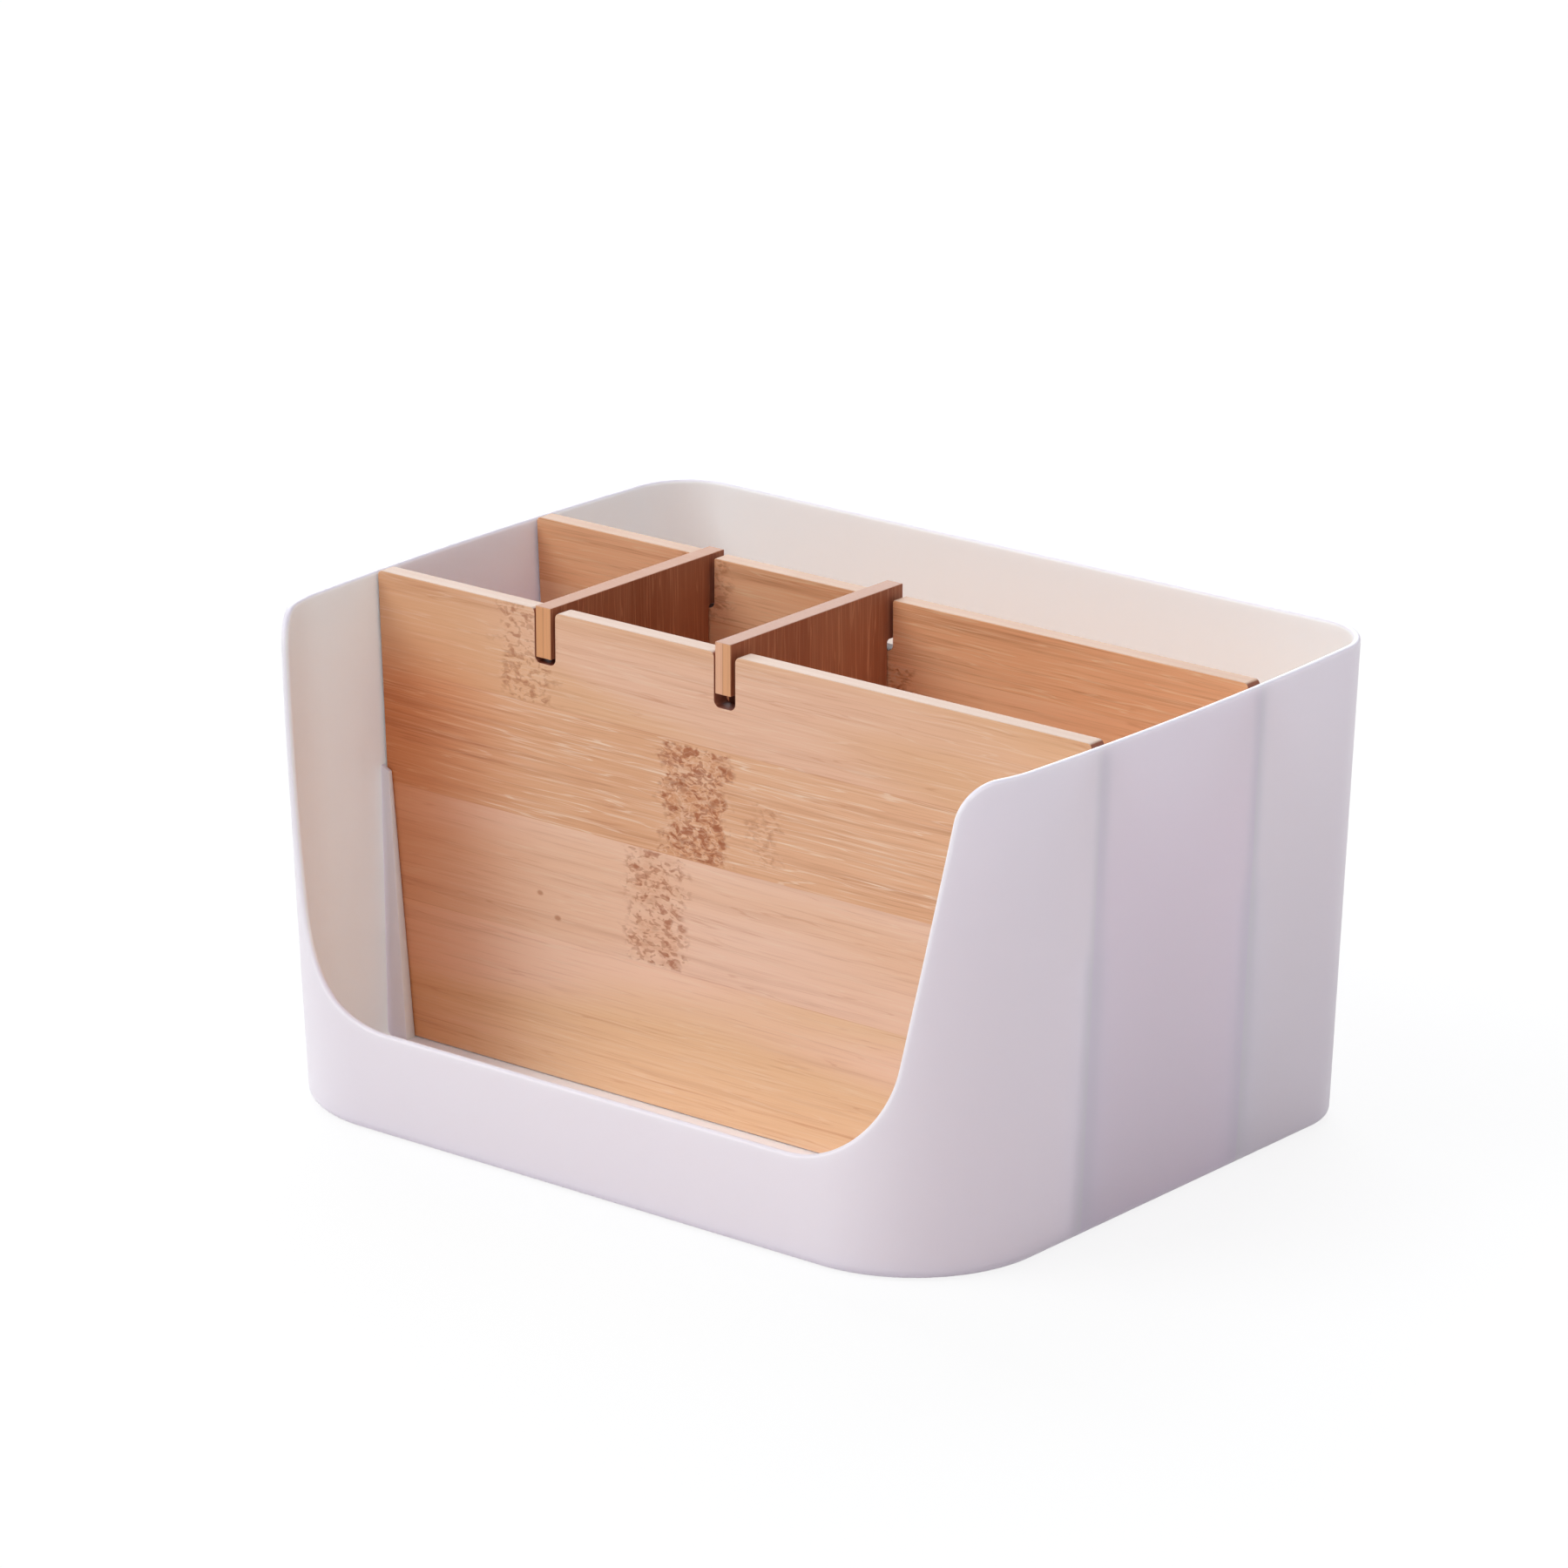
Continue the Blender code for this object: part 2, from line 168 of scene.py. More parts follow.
def wall_point(run, z, inset):
    """The point of the tray's wall at a run along the rim from the middle of the front."""
    half_width, half_depth = half_sizes(z)
    if run <= FRONT_STRAIGHT:
        x = (half_width - FRONT_CORNER_RADIUS) * run / FRONT_STRAIGHT
        y = -half_depth + inset
    elif run <= RUN_TO_SIDE:
        angle = (run - FRONT_STRAIGHT) / FRONT_CORNER_RADIUS
        radius = FRONT_CORNER_RADIUS - inset
        x = half_width - FRONT_CORNER_RADIUS + radius * math.sin(angle)
        y = -half_depth + FRONT_CORNER_RADIUS - radius * math.cos(angle)
    elif run <= RUN_TO_REAR_CORNER:
        front = -half_depth + FRONT_CORNER_RADIUS
        rear = half_depth - REAR_CORNER_RADIUS
        y = front + (rear - front) * (run - RUN_TO_SIDE) / SIDE_STRAIGHT
        x = side_wall_x(y, z, inset)
    elif run <= RUN_TO_REAR:
        angle = (run - RUN_TO_REAR_CORNER) / REAR_CORNER_RADIUS
        radius = REAR_CORNER_RADIUS - inset
        x = half_width - REAR_CORNER_RADIUS + radius * math.cos(angle)
        y = half_depth - REAR_CORNER_RADIUS + radius * math.sin(angle)
    else:
        x = (half_width - REAR_CORNER_RADIUS) * (RUN_TO_BACK_MIDDLE - run) / REAR_STRAIGHT
        y = half_depth - inset
    return x, y, z


def opening_edge(offset):
    """Runs and heights of the tray's upper edge, from the middle of the sill to the level rim."""
    tangent = math.tan(SLANT_TURN / 2)
    foot_run = SLANT_RUN_AT_SILL - OPENING_FOOT_RADIUS * tangent
    top_run = SLANT_RUN_AT_RIM + OPENING_TOP_RADIUS * tangent
    foot_radius = OPENING_FOOT_RADIUS + offset
    top_radius = OPENING_TOP_RADIUS - offset
    foot = [(foot_run + foot_radius * math.sin(a),
             SILL_HEIGHT + OPENING_FOOT_RADIUS - foot_radius * math.cos(a))
            for a in between(0, SLANT_TURN, OPENING_FOOT_STEPS)]
    top = [(top_run - top_radius * math.sin(a),
            TRAY_HEIGHT - OPENING_TOP_RADIUS + top_radius * math.cos(a))
           for a in between(SLANT_TURN, 0, OPENING_TOP_STEPS)]
    slant_runs = between(foot[-1][0], top[0][0], SLANT_STEPS)[1:-1]
    slant_heights = between(foot[-1][1], top[0][1], SLANT_STEPS)[1:-1]
    return [(0.0, SILL_HEIGHT - offset)] + foot + list(zip(slant_runs, slant_heights)) + top


def rim_runs():
    start = opening_edge(0)[-1][0]
    front_corner = between(FRONT_STRAIGHT, RUN_TO_SIDE, FRONT_CORNER_STEPS)[:-1]
    side = between(RUN_TO_SIDE, RUN_TO_REAR_CORNER, SIDE_STEPS)[:-1]
    rear_corner = between(RUN_TO_REAR_CORNER, RUN_TO_REAR, REAR_CORNER_STEPS)
    runs = front_corner + side + rear_corner + [RUN_TO_BACK_MIDDLE]
    return [run for run in runs if run - start > LIP_RADIUS]


def upper_edge(offset):
    return opening_edge(offset) + [(run, TRAY_HEIGHT - offset) for run in rim_runs()]


def closed_ring(edge, inset):
    right = [wall_point(run, z, inset) for run, z in edge]
    left = [(-x, y, z) for x, y, z in right[1:-1]]
    return right + left[::-1]


def level_ring(z, inset):
    return closed_ring([(run, z) for run, _ in upper_edge(LIP_RADIUS)], inset)


def tray_rings():
    """Rings from the underside, up outside, over the rounded lip and down to the floor."""
    rings = []
    for a in between(0, math.pi / 2, HEEL_STEPS):
        rings.append(level_ring(HEEL_RADIUS * (1 - math.cos(a)), HEEL_RADIUS * (1 - math.sin(a))))
    for a in between(0, math.pi, LIP_STEPS):
        edge = upper_edge(LIP_RADIUS * (1 - math.sin(a)))
        rings.append(closed_ring(edge, LIP_RADIUS * (1 - math.cos(a))))
    for a in between(math.pi / 2, 0, FILLET_STEPS):
        z = FLOOR + FLOOR_FILLET * (1 - math.cos(a))
        rings.append(level_ring(z, WALL + FLOOR_FILLET * (1 - math.sin(a))))
    return rings


# Mesh helpers

def add_loft(bm, rings):
    """A closed body through rings with equal counts of points, capped at both ends."""
    rows = [[bm.verts.new(point) for point in ring] for ring in rings]
    count = len(rows[0])
    for low, high in zip(rows, rows[1:]):
        for i in range(count):
            j = (i + 1) % count
            bm.faces.new((low[i], low[j], high[j], high[i]))
    bm.faces.new(rows[0][::-1])
    bm.faces.new(rows[-1])


def add_object(name, bm):
    bmesh.ops.recalc_face_normals(bm, faces=bm.faces)
    mesh = bpy.data.meshes.new(name)
    bm.to_mesh(mesh)
    bm.free()
    made = bpy.data.objects.new(name, mesh)
    bpy.context.scene.collection.objects.link(made)
    return made


def apply_modifiers(item):
    """The object keeps the shape that its modifiers give it."""
    bpy.context.view_layer.update()
    depsgraph = bpy.context.evaluated_depsgraph_get()
    item.data = bpy.data.meshes.new_from_object(item.evaluated_get(depsgraph))
    item.modifiers.clear()


def shade_round(item):
    item.data.shade_smooth()
    item.data.set_sharp_from_angle(angle=math.radians(SMOOTH_ANGLE))


def arc(centre, radius, start, end):
    angles = between(math.radians(start), math.radians(end), ARC_STEPS)
    return [(centre[0] + radius * math.cos(a), centre[1] + radius * math.sin(a)) for a in angles]


# Tray

def rib_rings(side, face_y, outward):
    rings = []
    levels = ((FLOOR / 2, RIB_REACH_FLOOR, RIB_THICKNESS_FLOOR, 0.0),
              (RIB_TOP_HEIGHT, RIB_REACH_TOP, RIB_THICKNESS_TOP, RIB_TOP_FALL))
    for z, reach, thickness, fall in levels:
        root = side_wall_x(face_y, z, WALL / 2)
        tip = side_wall_x(face_y, z, WALL) - reach
        far_y = face_y + outward * thickness
        rings.append([(side * root, face_y, z), (side * tip, face_y, z - fall),
                      (side * tip, far_y, z - fall), (side * root, far_y, z)])
    return rings


def make_ribs():
    """The eight guide ribs, their edges rounded, ready to be joined to the tray."""
    bm = bmesh.new()
    for front_face in (FRONT_BOARD_Y, REAR_BOARD_Y):
        back_face = front_face + BOARD_THICKNESS
        for side in (-1, 1):
            add_loft(bm, rib_rings(side, front_face - RIB_CLEARANCE, -1))
            add_loft(bm, rib_rings(side, back_face + RIB_CLEARANCE, 1))
    bmesh.ops.bevel(bm, geom=bm.edges[:], offset=RIB_EDGE, segments=RIB_EDGE_STEPS, profile=0.5,
                    affect="EDGES")
    return add_object("rib_helper", bm)


def make_tray():
    bm = bmesh.new()
    add_loft(bm, tray_rings())
    tray = add_object("tray_shell", bm)
    ribs = make_ribs()
    joined = tray.modifiers.new("guide ribs", "BOOLEAN")
    joined.operation = "UNION"
    joined.solver = "EXACT"
    joined.object = ribs
    apply_modifiers(tray)
    bpy.data.objects.remove(ribs)
    shade_round(tray)
    return tray


# Boards

def board_end_x(front_face, z):
    faces = (front_face, front_face + BOARD_THICKNESS)
    return min(side_wall_x(y, z, WALL) for y in faces) - BOARD_END_CLEARANCE


def slot_left_x(cross_node):
    return cad(cross_node, 0, "x") - SEAT_GAP


def slot_outline(cross_node, slot):
    depth, mouth_radius = slot
    left = slot_left_x(cross_node)
    right = left + SLOT_WIDTH
    mouth = BOARD_TOP - mouth_radius
    foot = BOARD_TOP - depth + SLOT_FOOT_RADIUS
    return (arc((left - mouth_radius, mouth), mouth_radius, 90, 0)
            + arc((left + SLOT_FOOT_RADIUS, foot), SLOT_FOOT_RADIUS, 180, 270)
            + arc((right - SLOT_FOOT_RADIUS, foot), SLOT_FOOT_RADIUS, 270, 360)
            + arc((right + mouth_radius, mouth), mouth_radius, 180, 90))


def long_board_outline(front_face, slot):
    top_end = board_end_x(front_face, BOARD_TOP)
    foot_end = board_end_x(front_face, BOARD_FOOT)
    shoulder = BOARD_TOP - BOARD_SHOULDER_RADIUS
    foot = BOARD_FOOT + BOARD_FOOT_RADIUS
    lean = (top_end - foot_end) / (BOARD_TOP - BOARD_FOOT)
    shoulder_x = top_end - lean * BOARD_SHOULDER_RADIUS - BOARD_SHOULDER_RADIUS
    foot_x = foot_end - BOARD_FOOT_RADIUS
    return (arc((-shoulder_x, shoulder), BOARD_SHOULDER_RADIUS, 180, 90)
            + slot_outline("left_cross_divider", slot) + slot_outline("right_cross_divider", slot)
            + arc((shoulder_x, shoulder), BOARD_SHOULDER_RADIUS, 90, 0)
            + arc((foot_x, foot), BOARD_FOOT_RADIUS, 0, -90)
            + arc((-foot_x, foot), BOARD_FOOT_RADIUS, -90, -180))


def cross_board_outline(top):
    front_edge = FRONT_BOARD_Y + BOARD_THICKNESS + SEAT_GAP
    rear_edge = REAR_BOARD_Y - SEAT_GAP
    ear_foot = top - EAR_HEIGHT
    radius = EAR_CORNER_RADIUS
    return ([(CROSS_FRONT_Y, ear_foot), (CROSS_FRONT_Y, top), (CROSS_REAR_Y, top), (CROSS_REAR_Y, ear_foot)]
            + arc((rear_edge + radius, ear_foot - radius), radius, 90, 180)
            + [(rear_edge, BOARD_FOOT), (front_edge, BOARD_FOOT)]
            + arc((front_edge - radius, ear_foot - radius), radius, 0, 90))


def make_board(name, outline, direction):
    """A board extruded from its outline of 3-D points, with softly rounded edges."""
    bm = bmesh.new()
    face = bm.faces.new([bm.verts.new(point) for point in outline])
    new = bmesh.ops.extrude_face_region(bm, geom=[face])["geom"]
    moved = [v for v in new if isinstance(v, bmesh.types.BMVert)]
    bmesh.ops.translate(bm, verts=moved, vec=direction)
    made = add_object(name, bm)
    bevel = made.modifiers.new("rounded edges", "BEVEL")
    bevel.width = BOARD_EDGE
    bevel.segments = EDGE_STEPS
    bevel.limit_method = "ANGLE"
    bevel.angle_limit = math.radians(SMOOTH_ANGLE)
    bevel.harden_normals = True
    made.data.shade_smooth()
    apply_modifiers(made)
    return made


def make_long_board(name, front_face, slot):
    outline = [(x, front_face, z) for x, z in long_board_outline(front_face, slot)]
    return make_board(name, outline, (0, BOARD_THICKNESS, 0))


def make_cross_board(name, node):
    left_face = cad(node, 0, "x")
    outline = [(left_face, y, z) for y, z in cross_board_outline(cad(node, 1, "z"))]
    return make_board(name, outline, (BOARD_THICKNESS, 0, 0))


# Materials

def linear(value):
    share = value / 255
    return share / 12.92 if share <= 0.04045 else ((share + 0.055) / 1.055) ** 2.4


def colour(red, green, blue):
    return linear(red), linear(green), linear(blue), 1.0


class Nodes:
    """A material's nodes, with one short call for each kind that the materials use."""

    def __init__(self, name):
        self.material = bpy.data.materials.new(name)
        self.material.use_nodes = True
        self.tree = self.material.node_tree
        self.surface = self.tree.nodes["Principled BSDF"]

    def add(self, kind, inputs=None, **settings):
        made = self.tree.nodes.new(kind)
        for name, value in settings.items():
            setattr(made, name, value)
        for name, value in (inputs or {}).items():
            self.feed(made.inputs[name], value)
        return made

    def feed(self, socket, value):
        if isinstance(value, bpy.types.NodeSocket):
            self.tree.links.new(value, socket)
        else:
            socket.default_value = value

    def set(self, **values):
        for name, value in values.items():
            self.feed(self.surface.inputs[name.replace("_", " ")], value)

    def math(self, operation, first, second=0.0, third=0.0):
        made = self.add("ShaderNodeMath", {0: first, 1: second, 2: third}, operation=operation)
        return made.outputs[0]

    def plus(self, first, second):
        return self.math("ADD", first, second)

    def minus(self, first, second):
        return self.math("SUBTRACT", first, second)

    def times(self, first, second):
        return self.math("MULTIPLY", first, second)

    def apart(self, value, middle):
        """How far a value is from a middle one."""
        return self.math("ABSOLUTE", self.minus(value, middle))

    def step(self, value, low, high):
        """0 below low and 1 above high, or the other way round, with a soft rise between them."""
        made = self.add("ShaderNodeMapRange", {"Value": value, "From Min": low, "From Max": high},
                        interpolation_type="SMOOTHSTEP")
        return made.outputs[0]

    def mix(self, share, first, second, blend="MIX"):
        made = self.add("ShaderNodeMix", {0: share, 6: first, 7: second}, data_type="RGBA", blend_type=blend)
        return made.outputs[2]

    def vector(self, x, y, z):
        return self.add("ShaderNodeCombineXYZ", {0: x, 1: y, 2: z}).outputs[0]

    def split(self, vector):
        return self.add("ShaderNodeSeparateXYZ", {0: vector}).outputs

    def scaled(self, vector, size):
        """The vector in cells of this size."""
        made = self.add("ShaderNodeVectorMath", {0: vector, "Scale": 1 / size}, operation="SCALE")
        return made.outputs[0]

    def noise(self, vector, detail=2.0, roughness=0.5, distortion=0.0):
        inputs = {"Vector": vector, "Scale": 1.0, "Detail": detail, "Roughness": roughness,
                  "Distortion": distortion}
        return self.add("ShaderNodeTexNoise", inputs).outputs[0]

    def window(self, value, low, high, soft):
        """1 where value is between low and high, 0 outside, softened over a length."""
        rise = self.step(value, low - soft, low + soft)
        fall = self.step(value, high + soft, high - soft)
        return self.times(rise, fall)


# Bamboo

STRIP_PITCH = 33.3 * MM
STRIP_JOINT = 43.4 * MM       # height of the lowest joint that shows on the front board
REAR_JOINT = STRIP_JOINT + 9 * MM
STRIPS_BELOW = 2.0            # strips below the one that starts at that joint
STRIP_SHIFT = 3.7             # how far the grain's pattern moves on from strip to strip
GRAIN_DARK = colour(186, 122, 84)
LINE_TONE = colour(196, 118, 74)
PLY_JOINT = colour(186, 126, 84)
SLOT_SHADE_TONE = colour(120, 60, 40)       # painted shade on the walls of slots and on edges that hide against another board
NODE_TAN = colour(212, 146, 100)
NODE_BROWN = colour(166, 90, 50)
NODE_CORE = colour(152, 80, 40)
NODE_LIGHT = colour(240, 200, 166)
SHADE_TINT = (0.84, 0.49, 0.29, 1.0)  # painted shadow of the left wall: the warm dark tint that the boards take on beside it
SPECK_TONE = colour(176, 104, 62)

# Noise cells along, across and through a board in mm, and for some a shift along it
BAND_CELL = (120, 3.4, 7)
FINE_CELL = (26, 0.60, 3, 0.31)
LINE_CELL = (75, 2.6, 6, 0.77)
STREAK_CELL = (60, 2.2, 6, 0.13)
DRIFT_CELL = (150, 26, 40)
WANDER_CELL = (110, 30, 30)
RIPPLE_CELL = (10, 7, 9)
RAGGED_CELL = (6, 4, 5)
STAIN_CELL = (9.0, 7.0, 5.0, 0.7)
SMUDGE_CELL = (4.0, 2.4, 4.0, 2.1)
CORE_CELL = (5.0, 3.0, 5.0, 3.3)
JOINT_CELL = (40, 200, 200, 4.1)
EDGE_CELL = (30, 0.8, 0.8, 5.0)
PORE_CELL = (2.0, 0.8, 0.6, 6.0)
STROKE = (3.6, 1.3)           # size of a cell in mm, and its shift
FLECK = (2.3, 6.1)
STROKE_HEIGHT_SHARE = 0.55

# Levels of a noise between which a mark goes from absent to full
BAND_LEVELS = (0.46, 0.80)
FINE_LEVELS = (0.52, 0.80)
PALE_LEVELS = (0.48, 0.24)
LINES_SEEN = (0.40, 0.60)
DRIFT_LEVELS = (0.36, 0.62)
STAIN_LEVELS = (0.30, 0.56)
SMUDGE_LEVELS = (0.52, 0.76)
CORE_LEVELS = (0.54, 0.76)
STROKE_LEVELS = (0.54, 0.62)
EDGE_LEVELS = (0.45, 0.75)
PORE_LEVELS = (0.50, 0.75)
HEAVY_LEVELS = (0.60, 1.0)    # of a patch's strength, where the heavy marks come in
FACE_LEVELS = (0.45, 0.75)    # of the normal, between a broad face and an edge

# Contour lines of a noise: the level, and how far from it a line starts and is full
GRAIN_LINE = (0.47, 0.016, 0.003)
PALE_LINE = (0.52, 0.020, 0.004)
STROKE_RIM = (0.45, 0.05, 0.01)

# Shares of a mark's colour
BAND_SHARE = 0.34
FINE_SHARE = 0.30
PALE_SHARE = 0.36
PALE_LINE_SHARE = 0.32
GRAIN_LINE_SHARE = 0.26
LIVELY_BOOST = 0.75           # added contrast of the liveliest strip
STAIN_SHARE = 0.75
SMUDGE_SHARE = 0.45
STROKE_RIM_SHARE = 0.55
STROKE_SHARE = 0.64
FLECK_RIM_SHARE = 0.40
FLECK_SHARE = 0.52
CORE_SHARE = 0.55
JOINT_SHARE = 0.35
SPECK_SHARE = 0.6
EDGE_SHARE = 0.5
PORE_SHARE = 0.25
SHADE_LEAST = 0.2             # painted shade that is left at the top of a board
SHADE_FOOT_LOSS = 0.18
SHADE_FOOT_FROM = 0.9         # shares of the shade's low height between which the foot grows paler
SHADE_FOOT_TO = 0.4

# Lengths
WANDER_REACH = 1.5 * MM
RIPPLE_REACH = 1.2 * MM
RAGGED_REACH = 8 * MM
PATCH_FADE = 3 * MM
PATCH_END_FADE = 0.6 * MM
JOINT_LINE = (0.35 * MM, 0.10 * MM)
GLUE_LINE = (0.30 * MM, 0.10 * MM)
PLY_FADE = 0.15 * MM
SLOT_SHADE_INSET = (3.5 * MM, 4.5 * MM)     # edges further in than this get the painted shade of slots and hidden edges
SPECK_STRETCH = 1.5
SPECK_CORE_PART = 3           # a speck is full within one part in this many of its radius

# Lacquer
LACQUER_ROUGHNESS = 0.42
LACQUER_SPREAD = 0.22
LACQUER_BUMP = {"Strength": 0.22, "Distance": 0.05 * MM}
LACQUER_SPECULAR = 0.42


class Board(Nodes):
    """Lacquered bamboo strips glued edge to edge. grain, across and through name the board's axes."""

    def __init__(self, name, grain, across, through, joint, seed):
        super().__init__(name)
        place = self.add("ShaderNodeTexCoord")
        position = self.split(place.outputs["Object"])
        normal = self.split(place.outputs["Normal"])
        self.u, self.v, self.w = [position["XYZ".index(axis)] for axis in (grain, across, through)]
        self.end_face = self.math("ABSOLUTE", normal["XYZ".index(grain)])
        self.side_face = self.math("ABSOLUTE", normal["XYZ".index(across)])
        rows = self.math("DIVIDE", self.minus(self.v, joint), STRIP_PITCH)
        self.strip = self.plus(self.math("FLOOR", rows), STRIPS_BELOW)
        self.from_joint = self.times(self.math("PINGPONG", rows, 0.5), STRIP_PITCH)
        self.along = self.plus(self.u, self.times(self.plus(self.strip, seed), STRIP_SHIFT))
        self.bent = self.v

    def cell(self, u_size, v_size, w_size, shift=0.0):
        """A noise vector whose cells have these sizes along, across and through the board, in mm."""
        along = self.math("DIVIDE", self.along, u_size * MM)
        return self.vector(self.plus(along, shift), self.math("DIVIDE", self.bent, v_size * MM),
                           self.math("DIVIDE", self.w, w_size * MM))

    def centred(self, sizes, reach, **settings):
        """A noise around zero that reaches about this length to both sides."""
        around = self.minus(self.noise(self.cell(*sizes), **settings), 0.5)
        return self.times(around, 2 * reach)

    def spots(self, sizes, levels, **settings):
        """Soft spots where a noise with cells of these sizes passes between the levels."""
        return self.step(self.noise(self.cell(*sizes), **settings), *levels)

    def contour(self, noise, level, start, full):
        """The lines where a noise is at a level."""
        return self.step(self.apart(noise, level), start, full)

    def patch_mask(self, patches):
        """Where the bamboo's own nodes cross a strip: middle, half width, low and high edge, strength."""
        ragged = self.plus(self.u, self.centred(RAGGED_CELL, RAGGED_REACH))
        mask = 0.0
        for middle, half_width, low, high, strength in patches:
            inside = self.window(ragged, middle - half_width, middle + half_width, PATCH_FADE)
            inside = self.times(inside, self.window(self.v, low, high, PATCH_END_FADE))
            mask = self.math("MAXIMUM", self.times(inside, strength), mask)
        return mask

    def strip_tone(self, tones):
        """The colour of the strip with that number, counted from the lowest."""
        place = self.math("DIVIDE", self.plus(self.strip, 0.5), len(tones))
        ramp = self.add("ShaderNodeValToRGB", {0: place})
        ramp.color_ramp.interpolation = "CONSTANT"
        for _ in tones[2:]:
            ramp.color_ramp.elements.new(0.5)
        for i, (element, tone) in enumerate(zip(ramp.color_ramp.elements, tones)):
            element.position = i / len(tones)
            element.color = tone
        return ramp.outputs[0]

    def bend_grain(self, patch):
        """Grain lines wander a little, and curl beside a patch."""
        wander = self.centred(WANDER_CELL, WANDER_REACH)
        ripple = self.times(self.centred(RIPPLE_CELL, RIPPLE_REACH), patch)
        self.bent = self.plus(self.v, self.plus(wander, ripple))

    def grain(self, tone, pale, contrast, lively_strip):
        """Broad bands, fine streaks and thin tapering lines along the grain."""
        broad = self.noise(self.cell(*BAND_CELL), detail=3.0, roughness=0.6)
        fine = self.noise(self.cell(*FINE_CELL), roughness=0.55)
        line = self.noise(self.cell(*LINE_CELL), roughness=0.45)
        streak = self.noise(self.cell(*STREAK_CELL), roughness=0.45)
        line = self.times(self.contour(line, *GRAIN_LINE), self.step(broad, *LINES_SEEN))
        dark = self.plus(self.times(self.step(broad, *BAND_LEVELS), BAND_SHARE),
                         self.times(self.step(fine, *FINE_LEVELS), FINE_SHARE))
        light = self.plus(self.times(self.step(fine, *PALE_LEVELS), PALE_SHARE),
                          self.times(self.contour(streak, *PALE_LINE), PALE_LINE_SHARE))
        lively = self.math("COMPARE", self.strip, lively_strip, 0.5)
        boost = self.plus(self.times(lively, LIVELY_BOOST), contrast)
        tone = self.mix(self.times(dark, boost), tone, GRAIN_DARK)
        tone = self.mix(self.times(light, boost), tone, pale)
        self.relief = self.plus(fine, self.times(broad, 0.5))
        self.fine = fine
        return self.mix(self.times(line, GRAIN_LINE_SHARE), tone, LINE_TONE)

    def strokes(self, size, shift):
        """Short strokes as if carved, and the pale rims beside them."""
        cells = self.cell(size, STROKE_HEIGHT_SHARE * size, size, shift)
        form = self.noise(cells, detail=1.0, distortion=0.6)
        return self.step(form, *STROKE_LEVELS), self.contour(form, *STROKE_RIM)

    def node_marks(self, tone, patch):
        """Stained wood, smudges and short strokes with pale rims where a node was planed flat."""
        heavy = self.step(patch, *HEAVY_LEVELS)
        stain = self.times(self.spots(STAIN_CELL, STAIN_LEVELS), heavy)
        smudge = self.times(self.spots(SMUDGE_CELL, SMUDGE_LEVELS, detail=1.0), heavy)
        core = self.times(self.spots(CORE_CELL, CORE_LEVELS), heavy)
        stroke, rim = self.strokes(*STROKE)
        fleck, fleck_rim = self.strokes(*FLECK)
        for marks, share, mark_tone in ((stain, STAIN_SHARE, NODE_TAN),
                                        (smudge, SMUDGE_SHARE, NODE_BROWN),
                                        (rim, STROKE_RIM_SHARE, NODE_LIGHT),
                                        (stroke, STROKE_SHARE, NODE_BROWN),
                                        (fleck_rim, FLECK_RIM_SHARE, NODE_LIGHT),
                                        (fleck, FLECK_SHARE, NODE_BROWN),
                                        (core, CORE_SHARE, NODE_CORE)):
            tone = self.mix(self.times(self.times(marks, patch), share), tone, mark_tone)
        return tone

    def speck(self, tone, u, v, radius):
        """A small brown speck, longer along the grain than across."""
        away_u = self.math("POWER", self.math("DIVIDE", self.minus(self.u, u), SPECK_STRETCH), 2)
        away_v = self.math("POWER", self.minus(self.v, v), 2)
        away = self.math("SQRT", self.plus(away_u, away_v))
        seen = self.step(away, radius, radius / SPECK_CORE_PART)
        return self.mix(self.times(seen, SPECK_SHARE), tone, SPECK_TONE)

    def joints(self, tone):
        """The glue line between two strips, faint and broken."""
        seen = self.spots(JOINT_CELL, LINES_SEEN, detail=1.0)
        line = self.times(self.step(self.from_joint, *JOINT_LINE), seen)
        return self.mix(self.times(line, JOINT_SHARE), tone, LINE_TONE)

    def shade(self, tone, start, end, low, high):
        """Painted shadow of the left wall, deepening along the board from start to end, and from high down
        to low.
        """
        share = self.plus(self.times(self.step(self.v, high, low), 1 - SHADE_LEAST), SHADE_LEAST)
        foot = self.step(self.v, SHADE_FOOT_FROM * low, SHADE_FOOT_TO * low)
        share = self.minus(share, self.times(foot, SHADE_FOOT_LOSS))
        share = self.times(self.step(self.u, start, end), share)
        return self.mix(share, tone, SHADE_TINT, blend="MULTIPLY")

    def edges(self, tone, middle, span, tones, glue_share):
        """Sawn edges: two plies along the grain, fine pores where the fibres end, and painted shade on slot
        walls and hidden edges.
        """
        first, second, end = tones
        glue = self.times(self.step(self.apart(self.w, middle), *GLUE_LINE), glue_share)
        streak = self.times(self.spots(EDGE_CELL, EDGE_LEVELS), EDGE_SHARE * glue_share)
        side = self.mix(self.step(self.w, middle - PLY_FADE, middle + PLY_FADE), first, second)
        side = self.mix(streak, side, PLY_JOINT)
        side = self.mix(glue, side, PLY_JOINT)
        inner = self.apart(self.v, sum(span) / 2)
        reach = (span[1] - span[0]) / 2
        # painted shade on the walls of slots and on edges hidden against another board
        side = self.mix(self.step(inner, *(reach - inset for inset in SLOT_SHADE_INSET)), side, SLOT_SHADE_TONE)
        end = self.mix(self.times(self.spots(PORE_CELL, PORE_LEVELS), PORE_SHARE), end, PLY_JOINT)
        tone = self.mix(self.step(self.side_face, *FACE_LEVELS), tone, side)
        return self.mix(self.step(self.end_face, *FACE_LEVELS), tone, end)

    def finish(self, tone):
        rough = self.plus(LACQUER_ROUGHNESS, self.times(self.fine, LACQUER_SPREAD))
        bump = self.add("ShaderNodeBump", dict(LACQUER_BUMP, Height=self.relief))
        self.set(Base_Color=tone, Roughness=rough, Normal=bump.outputs[0],
                 Specular_IOR_Level=LACQUER_SPECULAR)
        return self.material


